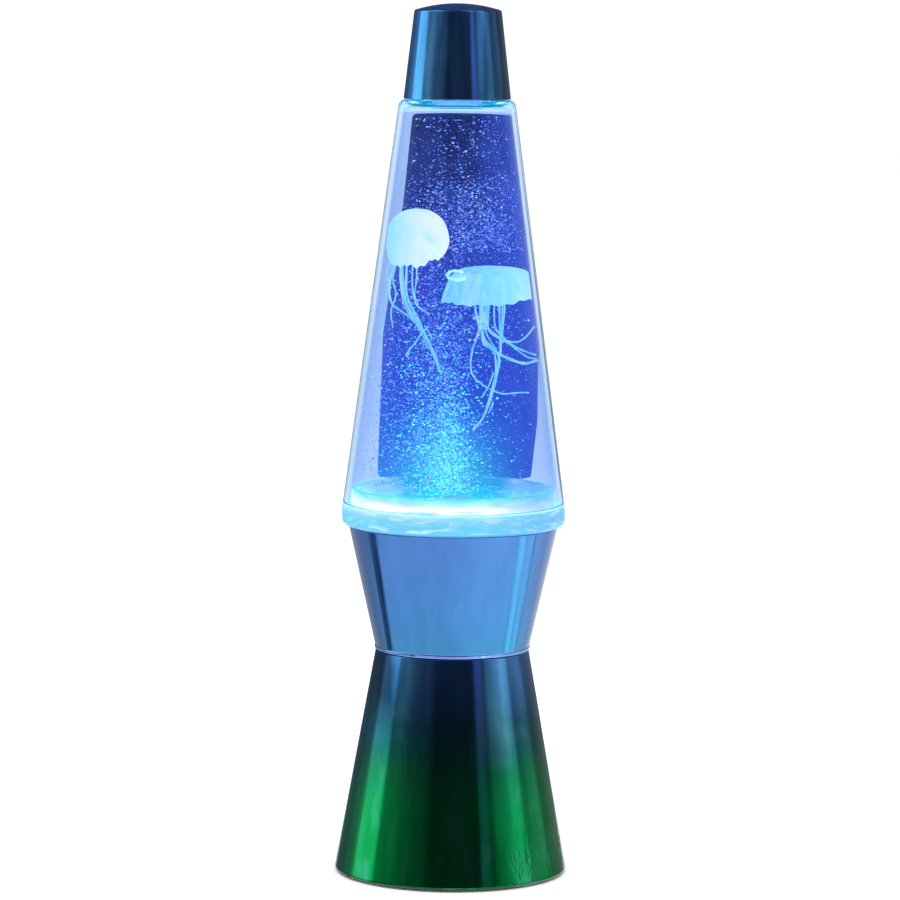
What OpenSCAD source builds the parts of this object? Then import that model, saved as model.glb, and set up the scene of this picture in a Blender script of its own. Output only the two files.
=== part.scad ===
// Lava lamp with artificial jellyfish: chrome base, cup and cap, clear water tank,
// magnetically driven impeller, light ring, control board and battery tray.
// Origin: centre of the feet on the table. +Z up, the front faces -Y.

/* [Base] */
// Diameter of the base cone at its foot
base_d = 99; // [97:0.5:101]
// Diameter where the base meets the cup
waist_d = 65.2; // [64.6:0.2:66]
// Wall of the base, cup and cap shells
shell_wall = 2; // [1.8:0.1:2.1]

/* [Cup] */
// Diameter of the cup at its rim
cup_d = 89.2; // [88.8:0.2:90]
// Diameter of the drive motor
motor_d = 20.4; // [19:0.2:21]
// Number of lights on the light board
led_count = 6; // [4:1:8]

/* [Tank] */
// Diameter of the tank wall where it meets the lip
tank_d = 94.2; // [93.8:0.2:94.6]
// Diameter of the tank wall at its shoulder
tank_top_d = 48.9; // [48.5:0.1:49.5]
// Diameter of the lip under the tank
lip_d = 94.8; // [94.6:0.1:95.4]
// Thickness of the tank wall
tank_wall = 2; // [1.8:0.1:2]
// Height of the water surface above the table
water_z = 324; // [318:1:325]

/* [Cap] */
// Diameter of the cap at its lower edge
cap_d = 45.4; // [45:0.1:46]
// Diameter of the cap at its top edge
cap_top_d = 36.8; // [36.4:0.1:37.6]

/* [Jellyfish] */
// Diameter of the upper, left jellyfish
bell_1_d = 24.4; // [20:0.2:24.4]
// Height of its bell
bell_1_h = 21; // [16:0.5:22]
// Diameter of the lower, right jellyfish
bell_2_d = 36.8; // [30:0.2:36.8]
// Height of its bell
bell_2_h = 17.5; // [14:0.5:18]

/* [Hidden] */

round_fn = 96;      // segments of every large round
small_fn = 32;      // segments of screws, bosses and holes
eps = 0.05;         // how far a cutter reaches past a face
fit = 0.06;         // radial clearance of a running or slip fit
gap = 0.3;          // clearance between curved faces that move past each other
touch = 0.1;        // face to face seat of one loose piece on another

// Levels, from the table up
shell_z = 1;                    // lower edge of the base shell
plate_z = 2;                    // underside of the base plate
plate_t = 3;
plate_top = plate_z + plate_t;
waist_z = 96;                   // top of the base deck
deck_t = 2.6;
cup_z = waist_z + 0.2;          // underside of the cup floor
floor_t = 2.6;
cup_floor = cup_z + floor_t;
ledge_top = 138.7;              // ledge in the cup that carries the tank
ledge_t = 2.5;
cup_top = 149.4;
lip_z = 149.5;                  // underside of the tank's lip
lip_top = 158;
tank_z = 158.8;                 // lower edge of the tank wall
tank_floor = 152.5;             // the water stands on this face
upstand_top = 165.2;
shoulder_z = 329.6;
neck_top = 342;
cap_z = 329.8;
cap_edge_z = 367.1;
cap_top_z = 370;

// Base fittings
plate_screw_r = 42.5;           // pitch radius of the base plate's screws
foot_pitch_r = 41;
foot_r = 4.5;
door_x = 25.1;                  // half sizes of the battery door
door_y = 29.9;
door_t = 1.5;
door_tab_y = 32.2;              // centre of the door's screw tab
door_tab_r = 3.6;
bay_x = 22.8;                   // half sizes of the battery bay
bay_y = 27.6;
tray_wall = 1.4;
tray_top = 21.4;
cell_r = 7.1;
cell_pitch = 15;
cell_z = 12.2;
cell_back = -24;                // flat end of a cell
cell_front = 25.1;              // shoulder of a cell
board_z = 27;
board_t = 1.6;
board_x = 23;
board_y = 17;
board_hole_x = 20;
board_hole_y = 14;
jack_z = 15.5;
jack_seat_y = 43.8;             // face in the base shell that the jack sits on
jack_inner_y = 40.5;
button_z = 31.4;
button_stop_y = 38.6;           // inner face of the button's guide
wire_r = 0.7;
wire_space = 1.7;               // distance between the two wires of a pair

// Cup fittings
cup_screw_r = 22;
cup_screw_angles = [30, 150, 270];
bracket_r = 21;
bracket_z = 130;
bracket_t = 2;
bracket_screw_r = 17.5;
bracket_angles = [90, 210, 330];
motor_z = 106;
motor_screw_x = 6.5;
shaft_r = 1;
hub_z = 143.3;                  // underside of the drive hub's disc
hub_top = 148.2;
magnet_r = 3.1;
drive_magnet_pitch = 7;
light_board_r = 33.4;
light_hole_r = 13.5;
light_pitch_r = 23.5;
tank_screw_r = 36.6;
spigot_r = 39.8;
spigot_z = ledge_top + 0.2;

// Tank fittings
seal_in = 43.9;
seal_out = 46.8;
film_t = 0.4;
film_foot_z = 160.6;
film_top_z = 323;
// Corners of the backdrop seen from the front: x, z and rounding
film_edge = [[-33.3, 166, 2], [-21, 163.6, 1], [-18, film_foot_z, 1.5],
    [22, film_foot_z, 1.5], [25, 163.6, 1], [33.7, 166.4, 2], [36.2, 192, 8],
    [36.2, film_top_z, 0], [-19.3, film_top_z, 2], [-23, 285, 10], [-31.3, 229, 10]];
water_inset = 2.8;              // from the tank's outer face to the water body
guard_r = 16;
guard_wall = 1.3;
guard_top = 164.4;
impeller_r = 10;
impeller_z = 153;
impeller_disc_t = 3.4;
impeller_magnet_pitch = 6.4;
neck_r = 15;
neck_bore_r = 12;

// Where the jellyfish hang: distance from the axis, bearing, rim height
jelly_1_at = [17, 193.6, 261];
jelly_2_at = [13.75, 8.4, 241.5];
wall_lean = atan((tank_d - tank_top_d) / 2 / (shoulder_z - tank_z));
bell_t = 1.2;
tentacle_r = 0.5;
lane_gap = 0.2;                 // free space round a bell on its way up and down

// Straight-sided cones: radius at a height
function cone_r(r0, z0, r1, z1, z) = r0 + (r1 - r0) * (z - z0) / (z1 - z0);
function base_r(z) = cone_r(base_d / 2, shell_z, waist_d / 2, waist_z, z);
function cup_r(z) = cone_r(waist_d / 2, waist_z, cup_d / 2, cup_top, z);
function tank_r(z) = cone_r(tank_d / 2, tank_z, tank_top_d / 2, shoulder_z, z);
function cap_r(z) = cone_r(cap_d / 2, cap_z, cap_top_d / 2, cap_edge_z, z);

// Points of the arc that rounds corner b, between neighbours a and c, at radius r
function unit(v) = v / norm(v);
function corner_arc(a, b, c, r, n = 5) =
    let (u = unit(a - b), v = unit(c - b), half = acos(u * v) / 2,
         o = b + unit(u + v) * (r / sin(half)),
         p = b + u * (r / tan(half)) - o,
         q = b + v * (r / tan(half)) - o,
         start = atan2(p.y, p.x),
         turn = (atan2(q.y, q.x) - start + 540) % 360 - 180)
    [for (i = [0:n]) o + r * [cos(start + turn * i / n), sin(start + turn * i / n)]];

// Outline from [x, z, corner radius] points
function flat_point(p) = [p.x, p.y];
function outline(pts) = [for (i = [0:len(pts) - 1])
    let (p = pts[i],
         before = flat_point(pts[(i + len(pts) - 1) % len(pts)]),
         after = flat_point(pts[(i + 1) % len(pts)]))
    each (p.z > 0 ? corner_arc(before, flat_point(p), after, p.z) : [flat_point(p)])];

// Solid of revolution about Z from [radius, height, corner radius] points
module lathe(pts) {
    rotate_extrude($fn = round_fn) polygon(outline(pts));
}

module lathe_small(pts) {
    rotate_extrude($fn = small_fn) polygon(outline(pts));
}

// Copies at the given angles on a pitch radius
module around(pitch, angles) {
    for (a = angles) rotate(a) translate([pitch, 0, 0]) children();
}

function evenly(count, start = 0) = [for (i = [0:count - 1]) start + 360 * i / count];

// Rod or drill along +Z from z0 to z1
module rod(r, z0, z1, fn = small_fn) {
    translate([0, 0, z0]) cylinder(r = r, h = z1 - z0, $fn = fn);
}

// Rod along +Y from y0 to y1, at height z
module rod_y(r, y0, y1, z = 0, fn = small_fn) {
    translate([0, y0, z]) rotate([-90, 0, 0]) cylinder(r = r, h = y1 - y0, $fn = fn);
}

// Box centred in X and Y, from z0 to z1
module slab(x, y, z0, z1) {
    translate([-x / 2, -y / 2, z0]) cube([x, y, z1 - z0]);
}

// Box centred in X, standing on the ground plane, from Y = 0
module slab_y(x, y, z) {
    translate([-x / 2, 0, 0]) cube([x, y, z]);
}

// Cross-head screw: its head's face at the origin, its shank up or down from there
module screw(head_r, head_h, shank_r, shank_l, up = true) {
    mirror([0, 0, up ? 0 : 1]) {
        difference() {
            lathe_small([[0, 0, 0], [head_r, 0, head_h * 0.5], [head_r, head_h, 0], [0, head_h, 0]]);
            for (a = [0, 90]) rotate(a) slab(head_r * 1.1, head_r * 0.24, -eps, head_h * 0.55);
        }
        rod(shank_r, head_h, head_h + shank_l);
    }
}

// Tube swept along a list of points, with flat ends
function ring_axes(pts, i) =
    let (last = len(pts) - 1,
         dir = unit(pts[min(i + 1, last)] - pts[max(i - 1, 0)]),
         side = unit(cross(dir, abs(dir.z) > 0.9 ? [0, 1, 0] : [0, 0, 1])))
    [side, cross(dir, side)];
module sweep_tube(pts, r, sides = 8) {
    rings = len(pts);
    verts = [for (i = [0:rings - 1])
        let (axes = ring_axes(pts, i))
        for (k = [0:sides - 1])
            pts[i] + r * (axes[0] * cos(360 * k / sides) + axes[1] * sin(360 * k / sides))];
    walls = [for (i = [0:rings - 2]) for (k = [0:sides - 1])
        let (a = i * sides + k, b = i * sides + (k + 1) % sides)
        each [[a, a + sides, b + sides], [a, b + sides, b]]];
    near_end = [for (k = [0:sides - 1]) k];
    far_end = [for (k = [sides - 1:-1:0]) (rings - 1) * sides + k];
    polyhedron(verts, concat(walls, [near_end, far_end]));
}

// Smooth route through hand-placed points
function spline_point(p0, p1, p2, p3, t) =
    0.5 * (2 * p1 + (p2 - p0) * t + (2 * p0 - 5 * p1 + 4 * p2 - p3) * t * t
        + (3 * p1 - p0 - 3 * p2 + p3) * t * t * t);
function smooth_route(pts, steps = 4) =
    let (last = len(pts) - 1)
    concat([for (i = [0:last - 1]) for (s = [0:steps - 1])
        spline_point(pts[max(i - 1, 0)], pts[i], pts[i + 1], pts[min(i + 2, last)], s / steps)],
        [pts[last]]);

// A red and black pair of wires along a route
module wire_pair(route) {
    for (side = [-0.5, 0.5])
        sweep_tube([for (p = smooth_route(route)) p + [0, side * wire_space, 0]], wire_r);
}

// ---------------------------------------------------------------- base

module base_solid() {
    lathe([[0, shell_z, 0], [base_d / 2, shell_z, 0.8], [waist_d / 2, waist_z, 0.8],
        [0, waist_z, 0]]);
}

module base_cavity() {
    top = waist_z - deck_t;
    lathe([[0, shell_z - eps, 0], [base_r(shell_z) - shell_wall, shell_z - eps, 0],
        [base_r(top) - shell_wall, top, 1.5], [0, top, 0]]);
}

module base_shell() {
    post_r = 3.2;
    post_top = 26;
    wire_hole_r = 6;
    color("seagreen") difference() {
        union() {
            difference() {
                base_solid();
                base_cavity();
            }
            intersection() {
                base_solid();
                union() {
                    around(plate_screw_r, evenly(4, 45)) rod(post_r, plate_top, post_top);
                    rod_y(7.5, jack_inner_y, base_d / 2, jack_z);
                    rod_y(6.8, button_stop_y, base_d / 2, button_z);
                }
            }
        }
        around(plate_screw_r, evenly(4, 45)) rod(1.1, plate_top - eps, 18);
        rod_y(6, jack_seat_y, base_d / 2 + eps, jack_z);
        rod_y(4.05, jack_inner_y - eps, jack_seat_y + eps, jack_z);
        rod_y(4.7, button_stop_y - eps, base_d / 2, button_z);
        rod(wire_hole_r, waist_z - deck_t - eps, waist_z + eps);
        around(cup_screw_r, cup_screw_angles) rod(1.7, waist_z - deck_t - eps, waist_z + eps);
    }
}

module base_plate() {
    plate_r = base_r(plate_top) - shell_wall - gap;
    color("dimgray") difference() {
        union() {
            lathe([[0, plate_z, 0], [plate_r, plate_z, 0.4], [plate_r, plate_top, 0.4],
                [0, plate_top, 0]]);
            translate([0, door_tab_y, 0]) rod(2.8, plate_top, 9.8);
        }
        slab(2 * door_x + 2 * gap, 2 * door_y + 2 * gap, plate_z - eps, plate_z + door_t + 0.2);
        translate([0, door_tab_y, 0]) rod(door_tab_r + gap, plate_z - eps, plate_z + door_t + 0.2);
        slab(2 * bay_x, 2 * bay_y, plate_z, plate_top + eps);
        translate([0, door_tab_y, 0]) rod(1.1, plate_z, 9);
        around(plate_screw_r, evenly(4, 45)) {
            rod(1.6, plate_z - eps, plate_top + eps);
            rod(2.8, plate_z - eps, plate_z + 1.4);
        }
        around(foot_pitch_r, evenly(4)) rod(foot_r + fit, plate_z - eps, plate_z + 0.8);
    }
}

module rubber_feet() {
    color("black") around(foot_pitch_r, evenly(4))
        lathe_small([[0, 0, 0], [foot_r, 0, 0.8], [foot_r, plate_z + 0.8, 0.2],
            [0, plate_z + 0.8, 0]]);
}

module base_plate_screws() {
    color("silver") around(plate_screw_r, evenly(4, 45))
        translate([0, 0, plate_z + 0.1]) screw(2.6, 1.3, 1, 12);
}

module battery_tray() {
    saddle_t = 1;
    standoff_r = 2.6;
    outer_x = 2 * (bay_x + tray_wall);
    outer_y = 2 * (bay_y + tray_wall);
    color("whitesmoke") difference() {
        union() {
            difference() {
                slab(outer_x, outer_y, plate_top, tray_top);
                slab(2 * bay_x, 2 * bay_y, plate_top - eps, tray_top - tray_wall);
            }
            for (x = [-0.5, 0.5]) translate([x * cell_pitch, 0, 0])
                slab(saddle_t, 2 * bay_y, 16.5, tray_top);
            for (x = [-1, 1], y = [-1, 1]) translate([x * board_hole_x, y * board_hole_y, 0])
                rod(standoff_r, tray_top - tray_wall, board_z);
        }
        for (x = [-1, 1], y = [-1, 1]) translate([x * board_hole_x, y * board_hole_y, 0])
            rod(0.95, board_z - 4.6, board_z + eps);
        translate([0, -25.5, 0]) slab(4.4, 2, tray_top - tray_wall - eps, tray_top + eps);
    }
}

// One cell along +Y, with its raised contact
module cell() {
    nub_r = 2.75;
    nub_end = 26.85;
    translate([0, 0, cell_z]) rotate([-90, 0, 0])
        lathe([[0, cell_back, 0], [cell_r, cell_back, 0.5], [cell_r, cell_front, 0.6],
            [nub_r, cell_front, 0], [nub_r, nub_end, 0.4], [0, nub_end, 0]]);
}

// The cells lie side by side, each turned end for end from the last
module in_each_bay() {
    for (i = [-1:1]) translate([i * cell_pitch, 0, 0]) rotate(i == 0 ? 180 : 0) children();
}

module battery_cells() {
    color("goldenrod") in_each_bay() cell();
}

module battery_springs() {
    turns = 3;
    steps = 12;
    back = -bay_y + 0.15;
    reach = cell_back - back - 0.9;
    color("silver") in_each_bay()
        sweep_tube([for (i = [0:turns * steps])
            let (t = i / (turns * steps), r = 4.6 - 2 * t, a = 360 * i / steps)
            [r * cos(a), back + 0.45 + reach * t, cell_z + r * sin(a)]], 0.35, 6);
}

module battery_contacts() {
    color("silver") in_each_bay()
        translate([0, 26.9, cell_z - 4.5]) slab_y(9, 0.5, 9);
}

module battery_door() {
    grip_count = 5;
    color("dimgray") difference() {
        union() {
            slab(2 * door_x, 2 * door_y, plate_z, plate_z + door_t);
            translate([0, door_tab_y, 0]) rod(door_tab_r, plate_z, plate_z + door_t);
        }
        translate([0, door_tab_y, 0]) {
            rod(1.2, plate_z - eps, plate_z + door_t + eps);
            rod(2.3, plate_z - eps, plate_z + 0.9);
        }
        for (i = [1:grip_count]) translate([0, -door_y + 3 * i, 0])
            slab(16, 1.2, plate_z - eps, plate_z + 0.5);
    }
}

module door_screw() {
    color("silver") translate([0, door_tab_y, plate_z + 0.1]) screw(2.1, 0.8, 1, 5);
}

module control_board() {
    color("darkgreen") difference() {
        slab(2 * board_x, 2 * board_y, board_z, board_z + board_t);
        for (x = [-1, 1], y = [-1, 1]) translate([x * board_hole_x, y * board_hole_y, 0])
            rod(1.1, board_z - eps, board_z + board_t + eps);
    }
}

// Chips, a capacitor, a coil and four lead sockets, each a separate solid
module board_components() {
    top = board_z + board_t;
    socket_h = 5;
    color("darkslategray") {
        translate([-5, 3, 0]) slab(7, 7, top, top + 1.2);
        translate([7, -3, 0]) slab(5, 4, top, top + 1.5);
        translate([9, 6, 0]) rod(3.1, top, top + 7);
        translate([-13, 4, 0]) rod(3, top, top + 3.4);
        for (i = [0:4]) translate([-10 + 3 * i, -3.5, 0]) slab(1.2, 2, top, top + 0.6);
        for (at = [[-14, -11], [0, -11], [13, -11], [17, 6]]) translate([at.x, at.y, 0])
            slab(4.5, 5.5, top, top + socket_h);
    }
}

module board_screws() {
    color("silver")
    for (x = [-1, 1], y = [-1, 1]) translate([x * board_hole_x, y * board_hole_y, 0])
        translate([0, 0, board_z + board_t + 1.2]) screw(1.9, 1.2, 0.85, 5.5, up = false);
}

module power_jack() {
    flange_t = 1.2;
    color("black") difference() {
        union() {
            rod_y(5.6, jack_seat_y, jack_seat_y + flange_t, jack_z);
            rod_y(3.9, 35, jack_seat_y + eps, jack_z);
            for (x = [-1.8, 1.8]) translate([x, 33, jack_z - 1.5]) slab_y(0.6, 2 + eps, 3);
        }
        rod_y(2.75, 36.5, jack_seat_y + flange_t + eps, jack_z);
    }
    color("silver") rod_y(1.05, 36.4, jack_seat_y, jack_z);
}

module jack_nut() {
    nut_r = 5.5;
    color("silver") difference() {
        rod_y(nut_r, jack_inner_y - 2.1, jack_inner_y - touch, jack_z, fn = 6);
        rod_y(3.96, jack_inner_y - 3, jack_inner_y + 1, jack_z);
    }
}

module mode_button() {
    face_y = 45.3;
    color("black") translate([0, 0, button_z]) rotate([-90, 0, 0])
        lathe([[0, 20.4, 0], [2, 20.4, 0], [2, 36.9, 0.4], [5.8, 36.9, 0.3],
            [5.8, button_stop_y - gap, 0.2], [4.5, button_stop_y - gap, 0],
            [4.5, face_y, 0.7], [0, face_y, 0]]);
}

module switch_body() {
    color("dimgray") difference() {
        translate([0, 11.4, board_z + board_t]) slab_y(6.4, 6, 6.2);
        rod_y(1.75, 13.4, 18, button_z);
    }
}

module switch_plunger() {
    color("black") rod_y(1.6, 15, 20.35, button_z);
}

// ---------------------------------------------------------------- cup and drive

module cup_shell() {
    bead_h = 1.6;
    bead = 0.5;
    bead_z = cup_z + bead_h;
    ledge_in = 29.5;
    ledge_z = ledge_top - ledge_t;
    color("cornflowerblue") difference() {
        union() {
            lathe([[8, cup_z, 0], [cup_r(cup_z) + bead, cup_z, 0.4],
                [cup_r(cup_z) + bead, bead_z, 0.4], [cup_r(bead_z), bead_z, 0],
                [cup_r(cup_top), cup_top, 0.5], [cup_r(cup_top) - shell_wall, cup_top, 0.3],
                [cup_r(ledge_top) - shell_wall, ledge_top, 0], [ledge_in, ledge_top, 0.3],
                [ledge_in, ledge_z, 0.3], [cup_r(ledge_z) - shell_wall, ledge_z, 0],
                [cup_r(cup_floor) - shell_wall, cup_floor, 1], [8, cup_floor, 0]]);
            around(cup_screw_r, cup_screw_angles) rod(3.2, cup_floor - eps, 105.5);
            around(bracket_screw_r, bracket_angles) rod(2.8, cup_floor - eps, bracket_z);
        }
        around(cup_screw_r, cup_screw_angles) rod(1.1, cup_z - eps, 104.8);
        around(bracket_screw_r, bracket_angles) rod(0.95, 122, bracket_z + eps);
        around(tank_screw_r, bracket_angles) rod(1.7, ledge_z - eps, ledge_top + eps);
    }
}

module cup_screws() {
    head_h = 1.6;
    color("silver") around(cup_screw_r, cup_screw_angles)
        translate([0, 0, waist_z - deck_t - head_h]) screw(2.8, head_h, 1, 10);
}

module motor_bracket() {
    color("lightgray") difference() {
        lathe([[3.2, bracket_z, 0], [bracket_r, bracket_z, 0.5],
            [bracket_r, bracket_z + bracket_t, 0.5], [3.2, bracket_z + bracket_t, 0]]);
        around(bracket_screw_r, bracket_angles)
            rod(1.1, bracket_z - eps, bracket_z + bracket_t + eps);
        around(motor_screw_x, [0, 180]) rod(1.1, bracket_z - eps, bracket_z + bracket_t + eps);
        around(13.5, evenly(3, 30)) rod(3.5, bracket_z - eps, bracket_z + bracket_t + eps);
    }
}

module bracket_screws() {
    head_h = 1.3;
    color("silver") around(bracket_screw_r, bracket_angles)
        translate([0, 0, bracket_z + bracket_t + head_h])
            screw(2, head_h, 0.85, 8, up = false);
}

// Round can with two flats, a bearing boss at each end and two terminals
module motor() {
    flat = 0.76;
    color("silver") difference() {
        union() {
            intersection() {
                lathe([[0, motor_z, 0], [motor_d / 2, motor_z, 1],
                    [motor_d / 2, bracket_z, 0.8], [0, bracket_z, 0]]);
                slab(motor_d, motor_d * flat, motor_z, bracket_z);
            }
            rod(3, bracket_z - eps, bracket_z + 1.8);
            rod(3, motor_z - 1.5, motor_z + eps);
            for (x = [-5.5, 5.5]) translate([x, 0, 0]) slab(0.6, 2.4, motor_z - 1.8, motor_z + eps);
        }
        rod(shaft_r + fit, motor_z - 0.5, bracket_z + 2);
        around(motor_screw_x, [0, 180]) rod(1, bracket_z - 3, bracket_z + eps);
    }
}

module motor_screws() {
    head_h = 1.3;
    color("silver") around(motor_screw_x, [0, 180])
        translate([0, 0, bracket_z + bracket_t + head_h])
            screw(2, head_h, 0.9, 4.5, up = false);
}

module motor_shaft() {
    color("silver") rod(shaft_r, motor_z - 0.3, hub_top - 0.7);
}

module drive_hub() {
    disc_r = 11;
    color("white") difference() {
        lathe([[shaft_r + 0.02, 136.5, 0], [3.6, 136.5, 0.3], [3.6, hub_z, 0],
            [disc_r, hub_z, 0.5], [disc_r, hub_top, 0.5], [shaft_r + 0.02, hub_top, 0]]);
        around(drive_magnet_pitch, [0, 180]) rod(magnet_r + fit, hub_top - 3.1, hub_top + eps);
    }
}

module drive_magnets() {
    color("silver") around(drive_magnet_pitch, [0, 180]) rod(magnet_r, hub_top - 3, hub_top);
}

module light_board() {
    color("white") difference() {
        lathe([[light_hole_r, ledge_top + touch, 0], [light_board_r, ledge_top + touch, 0.2],
            [light_board_r, ledge_top + touch + board_t, 0.2],
            [light_hole_r, ledge_top + touch + board_t, 0]]);
        around(29, evenly(3, 60)) rod(1.2, ledge_top, ledge_top + 3);
    }
}

// Square packages with a round lens on each
module lights() {
    base = ledge_top + touch + board_t;
    color("ivory") around(light_pitch_r, evenly(led_count)) {
        slab(5, 5, base, base + 1.2);
        rod(2, base + 1.2 - eps, base + 1.7);
    }
}

module light_diffuser() {
    rim_in = 31.8;
    top = 147.2;
    base = ledge_top + touch + board_t + touch;
    color("aliceblue") lathe([[rim_in, base, 0], [light_board_r, base, 0],
        [light_board_r, top, 0.8], [light_hole_r - 0.5, top, 0.3],
        [light_hole_r - 0.5, top - 1.2, 0.3], [rim_in, top - 1.2, 0.4]]);
}

// ---------------------------------------------------------------- wiring

module motor_leads() {
    color("firebrick")
    for (side = [-1, 1])
        sweep_tube(smooth_route([[-14 + side, -11, 33.7], [-14 + side, -11, 38],
            [-9 + side, -7, 52], [-2.5 + side, -2, 80], [-2.5 + side * 1.2, -1, 94],
            [side * 3.5 - 1, 0, 100], [side * 5.5, 0, 104.1]]), wire_r);
}

module light_leads() {
    color("firebrick") wire_pair([[13, -11, 33.7], [13, -11, 38], [9, -6, 52], [3, 1, 80],
        [3, 1, 95], [9, 0, 101], [22, 0, 106], [27, 0, 122], [26.5, 0, 134], [26.5, 0, 138.7]]);
}

module battery_leads() {
    color("black")
    for (side = [-1, 1])
        sweep_tube(smooth_route([[side, -25.5, 20.6], [side, -25.5, 26], [side, -24, 33],
            [side, -18, 38], [side, -12.5, 37.5], [side, -11, 33.7]]), wire_r);
}

module jack_leads() {
    color("black")
    for (side = [-1, 1])
        sweep_tube(smooth_route([[1.8 * side, 32.4, 15.5], [3 + 1.8 * side, 31.2, 18],
            [12 + side, 28.4, 24], [17 + side, 24, 33], [17 + side, 13, 38],
            [17 + side, 7, 37], [17 + side, 6, 33.7]]), wire_r);
}

// ---------------------------------------------------------------- tank

module tank_base() {
    spigot_in = 33.9;
    step_r = 46;
    color("lightcyan", 0.5) difference() {
        lathe([[0, lip_z, 0], [spigot_in, lip_z, 1], [spigot_in, spigot_z, 0.3],
            [spigot_r, spigot_z, 0.3], [spigot_r, lip_z, 0], [lip_d / 2, lip_z, 1.8],
            [lip_d / 2, lip_top, 0.8], [43.6, lip_top, 0], [43.2, upstand_top, 0.5],
            [41.2, upstand_top, 0.5], [41.2, tank_floor, 1.5], [0, tank_floor, 0]]);
        rod(shaft_r + 0.02, tank_floor - 1.6, tank_floor + eps);
        around(tank_screw_r, bracket_angles) rod(1.1, spigot_z - eps, 146.5);
    }
}

module tank_screws() {
    head_h = 1.6;
    color("silver") around(tank_screw_r, bracket_angles)
        translate([0, 0, ledge_top - ledge_t - head_h]) screw(2.4, head_h, 1, 9);
}

module tank_seal() {
    color("white") lathe([[seal_in, lip_top + 0.05, 0], [seal_out, lip_top + 0.05, 0.2],
        [seal_out, tank_z - 0.05, 0.2], [seal_in, tank_z - 0.05, 0]]);
}

module tank_body() {
    roof_z = shoulder_z - tank_wall;
    color("lightcyan", 0.35) lathe([[tank_d / 2, tank_z, 0.2],
        [tank_top_d / 2, shoulder_z, 3], [neck_r, shoulder_z, 0.6], [neck_r, neck_top, 0.5],
        [neck_bore_r, neck_top, 0.5], [neck_bore_r, roof_z, 0.4],
        [tank_r(roof_z) - tank_wall, roof_z, 2], [tank_r(tank_z) - tank_wall, tank_z, 0.2]]);
}

// Blue sheet curved round the inside of the tank's back
module backdrop_film() {
    outer = tank_wall + 0.05;
    inner = outer + film_t;
    color("midnightblue", 0.8) intersection() {
        difference() {
            rod_cone(film_foot_z - 1, film_top_z + 1, outer);
            rod_cone(film_foot_z - 2, film_top_z + 2, inner);
        }
        translate([0, tank_d / 2 + 5, 0]) rotate([90, 0, 0])
            linear_extrude(tank_d / 2 + 5) polygon(outline(film_edge));
    }
}

// Solid cone that follows the tank wall, inset from its outer face
module rod_cone(z0, z1, inset) {
    translate([0, 0, z0])
        cylinder(r1 = tank_r(z0) - inset, r2 = tank_r(z1) - inset, h = z1 - z0, $fn = round_fn);
}

// The neck's bung, with a groove for its ring
module fill_stopper() {
    plug_r = neck_bore_r - 0.4;
    flange_r = 14.4;
    flange_z = neck_top + 0.2;
    flange_top = 344.8;
    color("white") lathe([[0, 331, 0], [plug_r, 331, 1], [plug_r, 336, 0], [10.1, 336, 0],
        [10.1, 338, 0], [plug_r, 338, 0], [plug_r, flange_z, 0], [flange_r, flange_z, 0.3],
        [flange_r, flange_top, 0.8], [5, flange_top, 0], [4.6, 349, 1], [0, 349, 0]]);
}

module stopper_ring() {
    color("black") translate([0, 0, 337]) rotate_extrude($fn = round_fn)
        translate([11, 0]) circle(r = 0.85, $fn = 16);
}

// ---------------------------------------------------------------- in the water

module impeller_pin() {
    color("silver") rod(shaft_r, tank_floor - 1.5, 162.8);
}

module impeller() {
    disc_top = impeller_z + impeller_disc_t;
    hub_end = 161.3;
    blade_h = 4.6;
    bore = shaft_r + fit;
    color("white") difference() {
        union() {
            lathe([[bore, impeller_z, 0], [impeller_r, impeller_z, 0.4],
                [impeller_r, disc_top, 0.4], [2.8, disc_top, 0], [2.8, hub_end, 0.4],
                [bore, hub_end, 0]]);
            for (a = evenly(6)) rotate(a) translate([2.4, -0.6, disc_top - eps])
                cube([impeller_r - 3, 1.2, blade_h]);
        }
        around(impeller_magnet_pitch, [0, 180])
            rod(magnet_r + fit, impeller_z - eps, impeller_z + 2.6);
    }
}

module impeller_magnets() {
    color("silver") around(impeller_magnet_pitch, [0, 180])
        rod(magnet_r, impeller_z + 0.05, impeller_z + 2.5);
}

// Cage over the impeller: windows round the side, holes in the roof
module impeller_guard() {
    roof_t = 1.4;
    roof_z = guard_top - roof_t;
    window_w = 7;
    color("aliceblue", 0.5) difference() {
        union() {
            lathe([[guard_r - guard_wall, tank_floor + touch, 0], [guard_r, tank_floor + touch, 0],
                [guard_r, guard_top, 1.2], [0, guard_top, 0], [0, roof_z, 0],
                [guard_r - guard_wall, roof_z, 0]]);
            rod(2.8, roof_z - 1.2, roof_z + eps);
        }
        rod(shaft_r + 0.04, roof_z - 2, roof_z + 0.4);
        around(9.2, evenly(8, 22.5)) rod(2.1, roof_z - eps, guard_top + eps);
        for (a = evenly(8)) rotate(a) translate([guard_r - 3, -window_w / 2, tank_floor + 2])
            cube([6, window_w, roof_z - tank_floor - 3.5]);
    }
}

// Frame of a jellyfish: its +Z follows the lean of the tank wall
module at_jelly(place) {
    rotate(place[1]) translate([place[0], 0, place[2]]) rotate([0, -wall_lean, 0]) children();
}

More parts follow.
